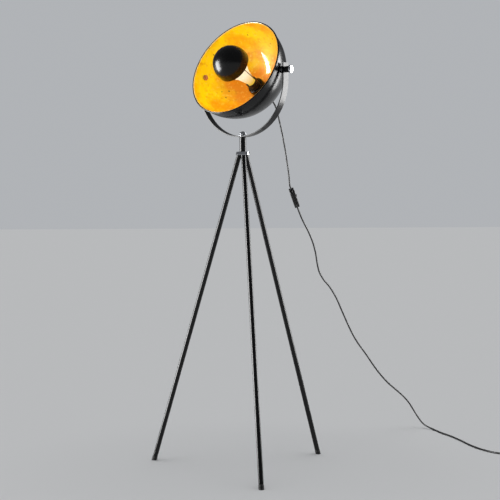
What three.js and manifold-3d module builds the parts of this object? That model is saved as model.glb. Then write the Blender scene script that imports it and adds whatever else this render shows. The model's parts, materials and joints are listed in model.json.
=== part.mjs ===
// Tripod floor lamp with a spun bowl shade in a tilting yoke and a small reflector dome
// in front of the bulb. Millimetres, +Z up, floor at z = 0, front leg towards -Y.
import * as THREE from 'three';
import { mergeVertices } from 'three/addons/utils/BufferGeometryUtils.js';
import Module from 'manifold-3d';

const wasm = await Module();
wasm.setup();

// ---- driving dimensions ----

const gap = 0.3; // clearance between pieces that touch
const tiny = 1e-4; // vertices closer than this are one vertex

const postSetback = 75.53; // from the middle of the footprint back to the post axis
const tiltHeight = 1183; // floor to the tilt axis
const yokeBearing = THREE.MathUtils.degToRad(-47.5); // tilt axis, seen from above
const shadeTilt = THREE.MathUtils.degToRad(65); // mouth turned from straight up

const footCircle = 301.5; // post axis to the middle of a foot
const legApex = 978.5; // height at which the three leg axes meet
const legRadius = 7.5;
const legWall = 1.2;
const footRadius = 8.1;
const footLength = 16;
const studRadius = 4;

const hubBottom = 940;
const hubTop = 950;
const hubRadiusBottom = 21.5;
const hubRadiusTop = 19.5;
const postRadius = 10;
const postWall = 1.5;
const rodRadius = 4.9;

const armX = 160.5; // tilt centre to the middle of a yoke arm
const stripThickness = 3;
const stripWidth = 24;
const armAbove = 20; // arm end above the tilt axis
const arcDrop = 27.3; // arc centre below the tilt axis

const bowlRadius = 153; // outside of the wall
const bowlWall = 1.2;
const rimPlane = 39; // mouth of the bowl in front of the tilt axis
const beadRadius = 2.1;
const bowlSegments = 40;
const bowlSteps = 12; // facets from the back of the bowl to its mouth

const domeRadius = 54;
const domeWall = 1.2;
const domeCentre = 60;
const domeRim = 47;
const forkBearing = THREE.MathUtils.degToRad(-12); // plane of the two wires, about the bowl axis
const wireRadius = 1.2;
const wireSpread = 33; // bowl axis to each wire

const holderFront = -45;
const holderBack = -111.2;
const holderRadius = 18;
const cupBack = -110.1;
const cupFront = -67;
const cupRadius = 26;
const nippleRadius = 4.9;
const gripTip = -144.5; // where the cord leaves the shade

const boltRadius = 2.9;
const knobRadius = 9;
const capRadius = 11.5;

const cordRadius = 2.75;
const cordSides = 8;
const switchCentre = new THREE.Vector3(189, 163, 815); // from the post axis
const switchRun = new THREE.Vector3(0.369, 0.28, -0.885).normalize(); // down the cord
const switchLength = 66;
const coilCentre = new THREE.Vector3(880.8, 14.7, 0); // from the post axis
const coilInner = 24.3;
const coilOuter = 36.1;
const coilHeight = 11.3;
const coilRadius = 33; // of the first turn
const coilTopRadius = 30; // of the upper turn, which the tail leaves
const tailBearing = THREE.MathUtils.degToRad(-51); // cord into the coil, and out to the plug
const plugThickness = 13.7;

// ---- materials ----

function finish(color, roughness, metalness) {
  return new THREE.MeshStandardMaterial({ color, roughness, metalness });
}

const blackPaint = finish(0x0d0d0f, 0.35, 0.1);
const goldLeaf = finish(0xd99a1c, 0.35, 0.9);
const chrome = finish(0xd8dade, 0.08, 1);
const steel = finish(0x9a9da2, 0.35, 1);
const brass = finish(0xb48a4a, 0.35, 1);
const copperTone = finish(0xa9694a, 0.3, 1);
const blackPlastic = finish(0x131314, 0.45, 0);
const rubber = finish(0x101010, 0.8, 0);
const cordJacket = finish(0x0c0c0d, 0.5, 0);
const glass = finish(0xf4f1e6, 0.05, 0);
const ceramic = finish(0xd9d6cd, 0.4, 0);

// ---- shape helpers ----

// Merges shared vertices, drops collapsed triangles and turns the faces outwards.
function closed(geometry) {
  const bare = geometry.clone();
  bare.deleteAttribute('normal');
  bare.deleteAttribute('uv');
  const merged = mergeVertices(bare, tiny);
  const index = merged.index.array;
  const place = merged.attributes.position;
  const triangles = [];
  const a = new THREE.Vector3();
  const b = new THREE.Vector3();
  const c = new THREE.Vector3();
  let volume = 0;
  for (let i = 0; i < index.length; i += 3) {
    const [p, q, r] = [index[i], index[i + 1], index[i + 2]];
    if (p === q || q === r || r === p) continue;
    triangles.push([p, q, r]);
    a.fromBufferAttribute(place, p);
    b.fromBufferAttribute(place, q);
    c.fromBufferAttribute(place, r);
    volume += a.dot(b.cross(c));
  }
  const ordered = triangles.map(([p, q, r]) => (volume < 0 ? [r, q, p] : [p, q, r]));
  merged.setIndex(ordered.flat());
  return merged;
}

function toSolid(geometry) {
  const shell = closed(geometry);
  const vertProperties = new Float32Array(shell.attributes.position.array);
  const triVerts = new Uint32Array(shell.index.array);
  return new wasm.Manifold(new wasm.Mesh({ numProp: 3, vertProperties, triVerts }));
}

function fromSolid(solid) {
  const mesh = solid.getMesh();
  const geometry = new THREE.BufferGeometry();
  geometry.setAttribute('position', new THREE.BufferAttribute(mesh.vertProperties, 3));
  geometry.setIndex(new THREE.BufferAttribute(mesh.triVerts, 1));
  return geometry;
}

function cut(body, ...tools) {
  return fromSolid(tools.reduce((solid, tool) => solid.subtract(toSolid(tool)), toSolid(body)));
}

function join(...bodies) {
  return fromSolid(bodies.map(toSolid).reduce((sum, solid) => sum.add(solid)));
}

// Points are [radius, height] pairs round the Z axis.
function lathe(points, segments = 24) {
  const profile = points.map(([radius, height]) => new THREE.Vector2(radius, height));
  return closed(new THREE.LatheGeometry(profile, segments).rotateX(Math.PI / 2));
}

function rod(radius, bottom, top, segments = 16) {
  return lathe([[0, bottom], [radius, bottom], [radius, top], [0, top]], segments);
}

function ring(inner, outer, bottom, top, segments = 24) {
  const corners = [[inner, bottom], [outer, bottom], [outer, top], [inner, top]];
  return lathe([...corners, corners[0]], segments);
}

function hexRing(flats, inner, bottom, top) {
  const hexagon = rod(flats / Math.sqrt(3), bottom, top, 6);
  return cut(hexagon, rod(inner, bottom - 1, top + 1, 12));
}

// Radius and height pairs along a circle centred on the axis at the given height.
function arc(radius, centreHeight, fromAngle, toAngle, steps) {
  const points = [];
  for (let i = 0; i <= steps; i++) {
    const angle = THREE.MathUtils.lerp(fromAngle, toAngle, i / steps);
    points.push([radius * Math.cos(angle), centreHeight + radius * Math.sin(angle)]);
  }
  return points;
}

function roundSection(radius, sides) {
  const shape = new THREE.Shape();
  for (let i = 0; i < sides; i++) {
    const angle = (2 * Math.PI * i) / sides;
    shape[i ? 'lineTo' : 'moveTo'](radius * Math.cos(angle), radius * Math.sin(angle));
  }
  return shape;
}

function tube(points, radius, steps, sides = cordSides) {
  const path = new THREE.CatmullRomCurve3(points, false, 'centripetal');
  const section = roundSection(radius, sides);
  return closed(new THREE.ExtrudeGeometry(section, { steps, extrudePath: path, bevelEnabled: false }));
}

function plate(outline, bottom, top, curveSegments = 4) {
  const settings = { depth: top - bottom, bevelEnabled: false, curveSegments };
  return closed(new THREE.ExtrudeGeometry(outline, settings).translate(0, 0, bottom));
}

function block(x, y, z, centre) {
  return closed(new THREE.BoxGeometry(x, y, z).translate(...centre));
}

function addMesh(parent, name, geometry, material) {
  const mesh = new THREE.Mesh(geometry, material);
  mesh.name = name;
  parent.add(mesh);
  return mesh;
}

// Turns a piece made round Z so that it lies along X, with its bottom end at negative X.
function alongX(geometry) {
  return geometry.rotateY(Math.PI / 2);
}

// ---- groups ----

const lamp = new THREE.Group();
lamp.position.set(0, postSetback, 0);

const head = new THREE.Group(); // on the tilt axis, X along it
head.position.set(0, 0, tiltHeight);
head.rotation.z = yokeBearing;
lamp.add(head);

const shade = new THREE.Group(); // X on the tilt axis, Z out of the bowl's mouth
shade.rotation.x = shadeTilt;
head.add(shade);

// ---- tripod ----

const hubSocketDepth = 3; // leg tube end above the hub's underside, on the leg axis
const legLean = Math.atan2(footCircle, legApex);
const legSpan = (height) => height / Math.cos(legLean); // along the leg, from the floor

function hubBody() {
  const cone = lathe(
    [
      [0, hubBottom], [hubRadiusBottom - 0.6, hubBottom], [hubRadiusBottom, hubBottom + 0.8],
      [hubRadiusTop, hubTop - 0.8], [hubRadiusTop - 0.8, hubTop], [0, hubTop],
    ],
    36,
  );
  const centreBore = rod(rodRadius + gap, hubBottom + 5.5, hubTop + 1);
  const sockets = [0, 1, 2].flatMap((i) => {
    const end = legSpan(hubBottom + hubSocketDepth);
    const socket = rod(legRadius + 0.4, end - 12, end + gap);
    const studBore = rod(studRadius + gap, end - 1, end + 5.5, 12);
    return [socket, studBore].map((tool) => leanLeg(tool, i));
  });
  return cut(cone, centreBore, ...sockets);
}

// Puts a piece made along Z from the floor onto leg number i: 0 front, 1 right, 2 left.
function leanLeg(geometry, i) {
  const turn = (2 * Math.PI * i) / 3;
  return geometry.rotateX(-legLean).translate(0, -footCircle, 0).rotateZ(turn);
}

addMesh(lamp, 'hub', hubBody(), chrome);

['front', 'right', 'left'].forEach((side, i) => {
  const end = legSpan(hubBottom + hubSocketDepth);
  const tubeStart = footLength - 2;
  const tubeInner = legRadius - legWall;
  // The top of the tube holds a welded plug with the stud that screws into the hub.
  const legProfile = [
    [0, end - 14], [tubeInner, end - 14], [tubeInner, tubeStart], [legRadius, tubeStart],
    [legRadius, end], [studRadius, end], [studRadius, end + 4.8], [0, end + 4.8],
  ];
  addMesh(lamp, `leg_${side}`, leanLeg(lathe(legProfile, 20), i), blackPaint);

  const footProfile = [
    [0, -6], [footRadius, -6], [footRadius, tubeStart - gap], [tubeInner - gap, tubeStart - gap],
    [tubeInner - gap - 0.4, tubeStart + 12], [0, tubeStart + 12],
  ];
  const foot = leanLeg(lathe(footProfile, 20), i);
  const belowFloor = block(1000, 1000, 50, [0, 0, -25]);
  addMesh(lamp, `foot_${side}`, cut(foot, belowFloor), rubber);
});

// ---- post and the clamp that holds the yoke on it ----

const stripBottom = tiltHeight - arcDrop - armX - stripThickness / 2;
const stripTop = stripBottom + stripThickness;
const swivelWasherThickness = 1.6;
const postTop = stripBottom - 2 * gap - swivelWasherThickness;
const clampWasherThickness = 1.6;
const nutBottom = stripTop + 2 * gap + clampWasherThickness;
const nutTop = nutBottom + 9.5;

addMesh(lamp, 'post_tube', ring(postRadius - postWall, postRadius, hubTop + gap, postTop), blackPaint);
addMesh(lamp, 'centre_rod', rod(rodRadius, hubBottom + 5.8, nutTop + 2.2), steel);
const swivelWasher = ring(rodRadius + gap, postRadius, postTop + gap, stripBottom - gap);
addMesh(lamp, 'swivel_washer', swivelWasher, blackPlastic);
const clampWasher = ring(rodRadius + gap, 10.8, stripTop + gap, nutBottom - gap);
addMesh(lamp, 'clamp_washer', clampWasher, chrome);
addMesh(lamp, 'clamp_nut', hexRing(17, rodRadius + gap, nutBottom, nutTop), chrome);

// ---- yoke ----

function yokeStrip() {
  const outer = armX + stripThickness / 2;
  const inner = armX - stripThickness / 2;
  const outline = new THREE.Shape();
  outline.moveTo(outer, armAbove);
  outline.lineTo(outer, -arcDrop);
  outline.absarc(0, -arcDrop, outer, 0, -Math.PI, true);
  outline.lineTo(-outer, armAbove);
  outline.lineTo(-inner, armAbove);
  outline.lineTo(-inner, -arcDrop);
  outline.absarc(0, -arcDrop, inner, -Math.PI, 0, false);
  outline.lineTo(inner, armAbove);
  // The outline is drawn in X and Y, then stood up so that its Y is height.
  const strip = plate(outline, -stripWidth / 2, stripWidth / 2, 24).rotateX(Math.PI / 2);
  const pivotHoles = alongX(rod(boltRadius + 0.5, -outer - 5, outer + 5, 12));
  const rodHole = rod(rodRadius + 0.5, -outer - arcDrop - 5, -inner - arcDrop + 10);
  const washerSeat = rod(11.3, -inner - arcDrop, -inner - arcDrop + 5, 24);
  return cut(strip, pivotHoles, rodHole, washerSeat);
}

addMesh(head, 'yoke_strip', yokeStrip(), blackPaint);

// ---- bowl ----

const bowlInner = bowlRadius - bowlWall;
const nippleHole = nippleRadius + 0.4;

// The space inside a sphere round the bowl's centre, faceted like the bowl.
function bowlForm(radius) {
  return lathe(arc(radius, rimPlane, -Math.PI / 2, Math.PI / 2, 2 * bowlSteps), bowlSegments);
}

function bowlShell() {
  const quarter = (radius) => [
    [nippleHole, rimPlane - Math.sqrt(radius ** 2 - nippleHole ** 2)],
    ...arc(radius, rimPlane, -Math.PI / 2, 0, bowlSteps).slice(1),
  ];
  const bead = [];
  for (let i = 1; i < 5; i++) {
    const angle = Math.PI - (2 * Math.PI * i) / 6;
    const x = bowlInner + beadRadius + beadRadius * Math.cos(angle);
    bead.push([x, rimPlane + beadRadius * Math.sin(angle)]);
  }
  const profile = [...quarter(bowlInner), ...bead, ...quarter(bowlRadius).slice(0, -1).reverse()];
  const shell = lathe([...profile, profile[0]], bowlSegments);
  return cut(shell, alongX(rod(boltRadius + 0.4, -bowlRadius - 5, bowlRadius + 5, 12)));
}

addMesh(shade, 'bowl_shell', bowlShell(), goldLeaf);

// ---- pivots: one on each side, made for +X ----

const armInnerFace = armX - stripThickness / 2;
const armOuterFace = armX + stripThickness / 2;
const boltHeadBottom = 138.4;
const shapedWasherFace = 142.4; // flat inner face of the washer that follows the wall
const padFace = 151; // flat outer face of the pad that follows the wall
const knobEnd = 176;

function pivotPieces() {
  const headTop = shapedWasherFace - gap;
  const bolt = lathe(
    [
      [0, boltHeadBottom], [4.2, boltHeadBottom], [6, boltHeadBottom + 1.6], [6, headTop],
      [boltRadius, headTop], [boltRadius, knobEnd - 3], [0, knobEnd - 3],
    ],
    16,
  );
  return {
    pivot_bolt: [alongX(bolt), copperTone],
    inner_washer: [shapedWasher(), copperTone],
    wall_pad: [wallPad(), blackPlastic],
    washer: [alongX(ring(boltRadius + gap, 11, padFace + gap, padFace + 1.5)), chrome],
    spacer: [alongX(ring(boltRadius + gap, 9, padFace + 1.8, armInnerFace - gap)), blackPlastic],
    knob: [knobBody(), blackPlastic],
    knob_cap: [knobCap(), chrome],
  };
}

function wallPad() {
  const pad = alongX(ring(boltRadius + gap, 10, 140, padFace));
  return cut(pad, bowlForm(bowlRadius + gap));
}

function shapedWasher() {
  const stub = toSolid(alongX(ring(boltRadius + gap, 8.5, shapedWasherFace, 152)));
  return fromSolid(stub.intersect(toSolid(bowlForm(bowlInner - gap))));
}

function knobBody() {
  const start = armOuterFace + gap;
  return alongX(
    lathe(
      [
        [boltRadius + gap, start], [knobRadius - 1, start], [knobRadius, start + 1],
        [knobRadius, knobEnd - 1], [knobRadius - 1, knobEnd], [4, knobEnd], [4, knobEnd - 2.6],
        [boltRadius + gap, knobEnd - 2.6], [boltRadius + gap, start],
      ],
      20,
    ),
  );
}

function knobCap() {
  const back = knobEnd + gap;
  return alongX(
    lathe(
      [
        [0, knobEnd - 1.5], [3.7, knobEnd - 1.5], [3.7, back], [capRadius - 1, back], [capRadius, back + 1],
        [capRadius, back + 4], [capRadius - 1.2, back + 5.2], [0, back + 6],
      ],
      20,
    ),
  );
}

// Half a turn about the bowl axis carries the right pivot onto the left one.
for (const [side, turn] of [['right', 0], ['left', Math.PI]]) {
  for (const [name, [geometry, material]] of Object.entries(pivotPieces())) {
    addMesh(shade, `${name}_${side}`, geometry.rotateZ(turn), material);
  }
}

// ---- lamp holder ----

const shellRadius = 14.7; // outside of the threaded contact shell
const holderBore = shellRadius + 0.4;

const holderProfile = [
  [nippleHole, holderBack], [holderRadius - 1, holderBack], [holderRadius, holderBack + 1],
  [holderRadius, holderFront - 1], [holderRadius - 0.8, holderFront], [holderBore, holderFront],
  [holderBore, holderBack + 4], [nippleHole, holderBack + 4], [nippleHole, holderBack],
];
addMesh(shade, 'holder_body', lathe(holderProfile, 20), blackPlastic);

const cupProfile = [
  [holderRadius + 0.4, cupFront], [cupRadius - 3, cupFront], [cupRadius - 0.8, cupFront - 0.9],
  [cupRadius, cupFront - 3], [cupRadius, cupBack], [cupRadius - 1.2, cupBack],
  [cupRadius - 1.2, cupFront - 3.2], [cupRadius - 3, cupFront - 1.4], [holderRadius + 0.4, cupFront - 1.4],
  [holderRadius + 0.4, cupFront],
];
addMesh(shade, 'holder_cup', lathe(cupProfile, 24), blackPaint);
addMesh(shade, 'holder_ring', ring(holderRadius + gap, 21, -63.8, -60, 20), blackPlastic);
const terminals = [-1, 1].map((s) => block(6, 7, 5, [s * 9.2, 0, -97]));
addMesh(shade, 'contact_block', join(rod(shellRadius, -96, -86.1), ...terminals), ceramic);
addMesh(shade, 'contact_shell', ring(shellRadius - 0.8, shellRadius, -85.8, -48), brass);
addMesh(shade, 'centre_contact', rod(4, -85.8, -84.5, 12), brass);

addMesh(shade, 'nipple', ring(3.6, nippleRadius, -119.6, -99.8, 16), steel);
addMesh(shade, 'nipple_nut', hexRing(14, nippleRadius + gap, -106.9, -103.4), steel);
addMesh(shade, 'back_washer', ring(nippleHole, 13, -115.6, -114.3), blackPaint);
const gripProfile = [
  [nippleRadius + gap, -115.9], [10.5, -115.9], [10.5, -122], [8.6, -124], [4.4, gripTip],
  [3.05, gripTip], [3.05, -121.5], [nippleRadius + gap, -120.2], [nippleRadius + gap, -115.9],
];
addMesh(shade, 'cord_grip', lathe(gripProfile, 20), blackPlastic);
addMesh(shade, 'cord_inner', rod(cordRadius, gripTip + 0.2, -96.3, 12), cordJacket);

// ---- bulb ----

const capRim = -47.6;
const bulbSphere = 25; // centre of the round end of the glass
const bulbRadius = 30.5;

const bulbCapProfile = [
  [9, -80.2], [9.6, -80.2], [13.1, -77.2], [13.3, capRim], [12.9, capRim], [12.7, -76.8],
  [9, -79.6], [9, -80.2],
];
addMesh(shade, 'bulb_cap', lathe(bulbCapProfile, 24), brass);
const bulbBaseProfile = [
  [0, -84.2], [4, -84.2], [4.6, -83.6], [4.6, -82.6], [5.4, -82.6], [8.7, -80.4], [8.7, -79.9], [0, -79.9],
];
addMesh(shade, 'bulb_base', lathe(bulbBaseProfile), ceramic);

function bulbProfile(inset) {
  const neck = [[12.4, -60], [12.6, -44], [14.2, -35], [17.4, -20], [20.8, -5]];
  const ball = arc(bulbRadius, bulbSphere, THREE.MathUtils.degToRad(-40), Math.PI / 2, 7);
  return [...neck, ...ball].map(([radius, height]) => [Math.max(radius - inset, 0), height]);
}
const glassOuter = bulbProfile(0);
const glassInner = bulbProfile(0.9);
glassInner[glassInner.length - 1][1] -= 0.9;
const glassLoop = [...glassOuter, ...glassInner.reverse(), glassOuter[0]];
addMesh(shade, 'bulb_glass', lathe(glassLoop, 20), glass);

// Glass stem with four filament sticks leaning outwards from its tip.
const stemProfile = [[0, -58], [10.5, -58], [10, -55], [3.2, -44], [2.8, -14], [0, -14]];
const filaments = [0, 1, 2, 3].map((i) => {
  const stick = rod(0.9, 0, 48, 6).rotateY(0.16).translate(2, 0, -15.5);
  return stick.rotateZ((i * Math.PI) / 2);
});
addMesh(shade, 'bulb_mount', join(lathe(stemProfile, 12), ...filaments), glass);

// ---- small reflector dome on its wire fork ----

function domeShell() {
  const outer = arc(domeRadius, domeCentre, 0, Math.PI / 2, 8);
  const inner = arc(domeRadius - domeWall, domeCentre, 0, Math.PI / 2, 8).reverse();
  const profile = [[domeRadius, domeRim], ...outer, ...inner, [domeRadius - domeWall, domeRim]];
  return lathe([...profile, profile[0]], 28);
}

const forkEnd = domeCentre + 6.5;
const eyeHeight = cupFront + 1.6; // the fork's eye lies on the holder cup
const barBottom = domeCentre + 0.6;
const barTop = barBottom + 1.6;
const wireHoleRadius = wireRadius + 0.35;

function forkLeg(side) {
  const route = [
    [18.9, eyeHeight], [27, eyeHeight], [31.2, eyeHeight + 1.3], [wireSpread, eyeHeight + 5],
    [wireSpread, eyeHeight + 12], [wireSpread, 0], [wireSpread, forkEnd - 10], [wireSpread, forkEnd],
  ];
  const points = route.map(([x, z]) => new THREE.Vector3(side * x, 0, z));
  return tube(points, wireRadius, 10, 6);
}

function wireFork() {
  const eyeRadius = 19.8;
  const eyeSection = [];
  for (let i = 0; i <= 6; i++) {
    const angle = (2 * Math.PI * i) / 6;
    const x = eyeRadius + wireRadius * Math.cos(angle);
    eyeSection.push([x, eyeHeight + wireRadius * Math.sin(angle)]);
  }
  return join(lathe(eyeSection, 20), forkLeg(1), forkLeg(-1)).rotateZ(forkBearing);
}

function domeBar() {
  const bar = block(104, 9, barTop - barBottom, [0, 0, (barBottom + barTop) / 2]);
  const drill = rod(wireHoleRadius, barBottom - 5, barTop + 5, 10);
  const holes = [-1, 1].map((side) => drill.clone().translate(side * wireSpread, 0, 0));
  return cut(bar, ...holes).rotateZ(forkBearing);
}

function forkNut(side) {
  const nut = hexRing(5.5, wireHoleRadius, barTop + gap, barTop + gap + 2.4);
  return nut.translate(side * wireSpread, 0, 0).rotateZ(forkBearing);
}

addMesh(shade, 'reflector_dome', domeShell(), blackPaint);
addMesh(shade, 'dome_bar', domeBar(), steel);
addMesh(shade, 'wire_fork', wireFork(), steel);
addMesh(shade, 'fork_nut_right', forkNut(1), steel);
addMesh(shade, 'fork_nut_left', forkNut(-1), steel);

// ---- in-line switch ----

const switchGroup = new THREE.Group(); // X down the cord, Z out of the rocker's face
const away = new THREE.Vector3(0.159, 0.987, 0); // its wide side lies this way
const switchAcross = away.clone().addScaledVector(switchRun, -away.dot(switchRun)).normalize();
const switchFace = new THREE.Vector3().crossVectors(switchRun, switchAcross);
switchGroup.matrixAutoUpdate = false;
switchGroup.matrix.makeBasis(switchRun, switchAcross, switchFace).setPosition(switchCentre);
switchGroup.matrix.decompose(switchGroup.position, switchGroup.quaternion, switchGroup.scale);
switchGroup.matrixAutoUpdate = true;
lamp.add(switchGroup);

const switchWidth = 25;
const switchHalf = 8; // from the split to a face

function switchOutline() {
  const x = switchLength / 2;
  const y = switchWidth / 2;
  const end = 4.5; // half the width of the cord ends
  const shape = new THREE.Shape();
  shape.moveTo(-x, -end);
  shape.lineTo(-x + 5, -end);
  shape.quadraticCurveTo(-x + 9, -y, -x + 16, -y);
  shape.lineTo(x - 16, -y);
  shape.quadraticCurveTo(x - 9, -y, x - 5, -end);
  shape.lineTo(x, -end);
  shape.lineTo(x, end);
  shape.lineTo(x - 5, end);
  shape.quadraticCurveTo(x - 9, y, x - 16, y);
  shape.lineTo(-x + 16, y);
  shape.quadraticCurveTo(-x + 9, y, -x + 5, end);
  shape.lineTo(-x, end);
  return shape;
}

const cordChannel = () => alongX(rod(cordRadius + gap, -switchLength, switchLength, 12));
const rockerOpening = block(18, 12, 20, [0, 0, 10]);
const topHalf = plate(switchOutline(), 0.15, switchHalf);
const topPocket = block(34, 19, 12, [0, 0, 0.15]);
const switchTop = cut(topHalf, topPocket, cordChannel(), rockerOpening);
addMesh(switchGroup, 'switch_top', switchTop, blackPlastic);
const bottomHalf = plate(switchOutline(), -switchHalf, -0.15);
const bottomPocket = block(34, 19, 12, [0, 0, -0.15]);
addMesh(switchGroup, 'switch_bottom', cut(bottomHalf, bottomPocket, cordChannel()), blackPlastic);

const rockerPivot = 5; // above the split
const rockerTravel = THREE.MathUtils.degToRad(7);
function rockerBody() {
  const half = new THREE.Shape();
  half.moveTo(-8.4, 1.2);
  half.lineTo(8.4, 1.2);
  half.lineTo(8.2, 4.6);
  half.quadraticCurveTo(0, 2.6, -8.2, 4.6);
  half.lineTo(-8.4, 1.2);
  const upper = plate(half, -5.6, 5.6).rotateX(Math.PI / 2);
  const foot = block(5, 9, 4, [0, 0, -0.6]);
  return join(upper, foot).rotateY(rockerTravel).translate(0, 0, rockerPivot);
}
addMesh(switchGroup, 'switch_rocker', rockerBody(), blackPlastic);
addMesh(switchGroup, 'switch_contact', block(30, 5, 1, [0, 0, -5.6]), brass);

// ---- cord ----

// A point on the bowl axis, behind the cord grip, from the post axis.
function gripExit(distance) {
  const point = new THREE.Vector3(0, 0, gripTip - distance);
  point.applyAxisAngle(new THREE.Vector3(1, 0, 0), shadeTilt);
  point.applyAxisAngle(new THREE.Vector3(0, 0, 1), yokeBearing);
  return point.setZ(point.z + tiltHeight);
}
const toVectors = (list) => list.map(([x, y, z]) => new THREE.Vector3(x, y, z));
const alongSwitch = (distance) => switchCentre.clone().addScaledVector(switchRun, distance);
const switchEnd = switchLength / 2 + gap;

const upperRoute = [
  gripExit(gap),
  gripExit(8),
  ...toVectors([
    [110.5, 101.5, 1111.5], [119.5, 109, 1099.5], [126.5, 114.5, 1081], [132.5, 119.2, 1060],
    [138.8, 124, 1037], [144.8, 128.6, 1014], [150, 132.8, 990], [155.3, 136.8, 966],
    [162, 142.2, 928], [168.6, 147.4, 890],
  ]),
  alongSwitch(-switchEnd - 12),
  alongSwitch(-switchEnd),
];
addMesh(lamp, 'cord_upper', tube(upperRoute, cordRadius, 16), cordJacket);

const floorHeight = cordRadius + 0.15; // cord axis where it lies on the floor
const tailRun = new THREE.Vector3(Math.cos(tailBearing), Math.sin(tailBearing), 0);
const tailSide = new THREE.Vector3(tailRun.y, -tailRun.x, 0); // from the coil's centre to where it enters
const onCoil = (radius, distance, height) =>
  coilCentre.clone().addScaledVector(tailSide, radius).addScaledVector(tailRun, distance).setZ(height);
const coilEntry = -20.8; // cord end before the first turn, clear of the ring
const coilExit = 24.6; // cord start after the last turn, clear of the ring

const lowerRoute = [
  alongSwitch(switchEnd),
  alongSwitch(switchEnd + 14),
  ...toVectors([
    [222, 188.5, 742.5], [244.5, 206, 705.5], [262, 220, 669.5], [272, 227.6, 637],
    [277.5, 232, 607], [286, 238.6, 577], [302.5, 251.6, 551], [328, 272, 525],
    [354.5, 293, 488.5], [385, 316.4, 431], [420, 344, 367], [446, 364, 329],
    [483, 393, 285], [522, 424, 236], [551, 446.5, 204], [581.5, 470, 174.5],
    [616, 496.5, 147], [650, 519, 119.5], [674, 530, 95], [693, 536, 68],
    [712, 536.5, 38], [727, 523, 16], [738, 504, 8], [746, 483, 4.6],
  ]),
  ...toVectors([
    [752, 455], [757, 405], [768.5, 342], [775, 265], [779.5, 170], [792, 102.5],
    [809.5, 57], [829, 30.5],
  ].map(([x, y]) => [x, y, floorHeight])),
  onCoil(coilRadius, coilEntry, floorHeight),
];
addMesh(lamp, 'cord_lower', tube(lowerRoute, cordRadius, 61), cordJacket);
const coil = ring(coilInner, coilOuter, 0.1, coilHeight, 32).translate(coilCentre.x, coilCentre.y, 0);
addMesh(lamp, 'cord_coil', coil, cordJacket);

// ---- plug, lying flat beside the coil ----

const plugAxisHeight = plugThickness / 2 + 0.1;
const coilTopAxis = floorHeight + 2 * cordRadius - 0.1; // cord axis in the upper turn
const tailEnd = 44; // from the coil's side to the plug's strain relief
const tailRoute = [
  onCoil(coilTopRadius, coilExit, coilTopAxis),
  onCoil(coilTopRadius, coilExit + 7, coilTopAxis - 0.3),
  onCoil(coilTopRadius, tailEnd - 7, plugAxisHeight + 0.1),
  onCoil(coilTopRadius, tailEnd, plugAxisHeight),
];
addMesh(lamp, 'cord_tail', tube(tailRoute, cordRadius, 3), cordJacket);

const plugGroup = new THREE.Group(); // X away from the cord, Z up
plugGroup.position.copy(onCoil(coilTopRadius, tailEnd + gap, plugAxisHeight));
plugGroup.rotation.z = tailBearing;
lamp.add(plugGroup);

const reliefLength = 22;
const plugLength = 35;
const pinLength = 19;
const pinSpacing = 18.4;
const reliefProfile = [[0, 0], [3.4, 0], [5, reliefLength], [0, reliefLength]];
addMesh(plugGroup, 'plug_relief', alongX(lathe(reliefProfile, 12)), rubber);

function plugBody() {
  const start = reliefLength + gap;
  const end = start + plugLength;
  const outline = new THREE.Shape();
  outline.moveTo(start, -6);
  outline.lineTo(start, 6);
  outline.quadraticCurveTo(start + 6, 8.5, start + 12, 13);
  outline.lineTo(end - 3, 14.5);
  outline.quadraticCurveTo(end, 14.5, end, 11.5);
  outline.lineTo(end, -11.5);
  outline.quadraticCurveTo(end, -14.5, end - 3, -14.5);
  outline.lineTo(start + 12, -13);
  outline.quadraticCurveTo(start + 6, -8.5, start, -6);
  return plate(outline, -plugThickness / 2, plugThickness / 2);
}
addMesh(plugGroup, 'plug_body', plugBody(), blackPlastic);

const pinStart = reliefLength + plugLength + 2 * gap;
const pinProfile = [
  [0, pinStart], [2, pinStart], [2, pinStart + pinLength - 1], [1.2, pinStart + pinLength],
  [0, pinStart + pinLength],
];
for (const [side, s] of [['right', -1], ['left', 1]]) {
  const pin = alongX(lathe(pinProfile, 12)).translate(0, (s * pinSpacing) / 2, 0);
  addMesh(plugGroup, `plug_pin_${side}`, pin, brass);
}

export default lamp;
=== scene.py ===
# Tripod floor lamp: a spun bowl with a gold leaf lining in a tilting yoke, on three slim legs.
import json
import math

import bpy
from mathutils import Matrix, Vector

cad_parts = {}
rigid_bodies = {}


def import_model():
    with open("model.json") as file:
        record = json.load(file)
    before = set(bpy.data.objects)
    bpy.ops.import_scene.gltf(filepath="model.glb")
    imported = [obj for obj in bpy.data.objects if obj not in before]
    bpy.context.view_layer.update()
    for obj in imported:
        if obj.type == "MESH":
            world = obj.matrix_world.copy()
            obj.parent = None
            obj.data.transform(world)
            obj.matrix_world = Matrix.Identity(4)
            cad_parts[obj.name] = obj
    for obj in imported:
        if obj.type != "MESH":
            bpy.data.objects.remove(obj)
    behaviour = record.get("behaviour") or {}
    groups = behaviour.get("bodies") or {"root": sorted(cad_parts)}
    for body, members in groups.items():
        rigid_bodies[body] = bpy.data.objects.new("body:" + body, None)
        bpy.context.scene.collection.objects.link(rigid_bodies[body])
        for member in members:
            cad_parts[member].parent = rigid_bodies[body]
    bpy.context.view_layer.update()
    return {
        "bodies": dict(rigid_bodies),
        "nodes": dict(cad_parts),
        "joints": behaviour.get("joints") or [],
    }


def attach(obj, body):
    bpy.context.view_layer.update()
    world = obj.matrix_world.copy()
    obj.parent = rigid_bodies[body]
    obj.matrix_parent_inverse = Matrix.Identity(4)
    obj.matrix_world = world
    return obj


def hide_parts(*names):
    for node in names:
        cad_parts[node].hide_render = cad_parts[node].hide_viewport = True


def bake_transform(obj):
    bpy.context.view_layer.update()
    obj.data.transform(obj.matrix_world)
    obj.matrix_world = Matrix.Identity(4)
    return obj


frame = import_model()
joints = {joint["name"]: joint for joint in frame["joints"]}
print("frame loaded")

mm = 0.001

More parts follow.
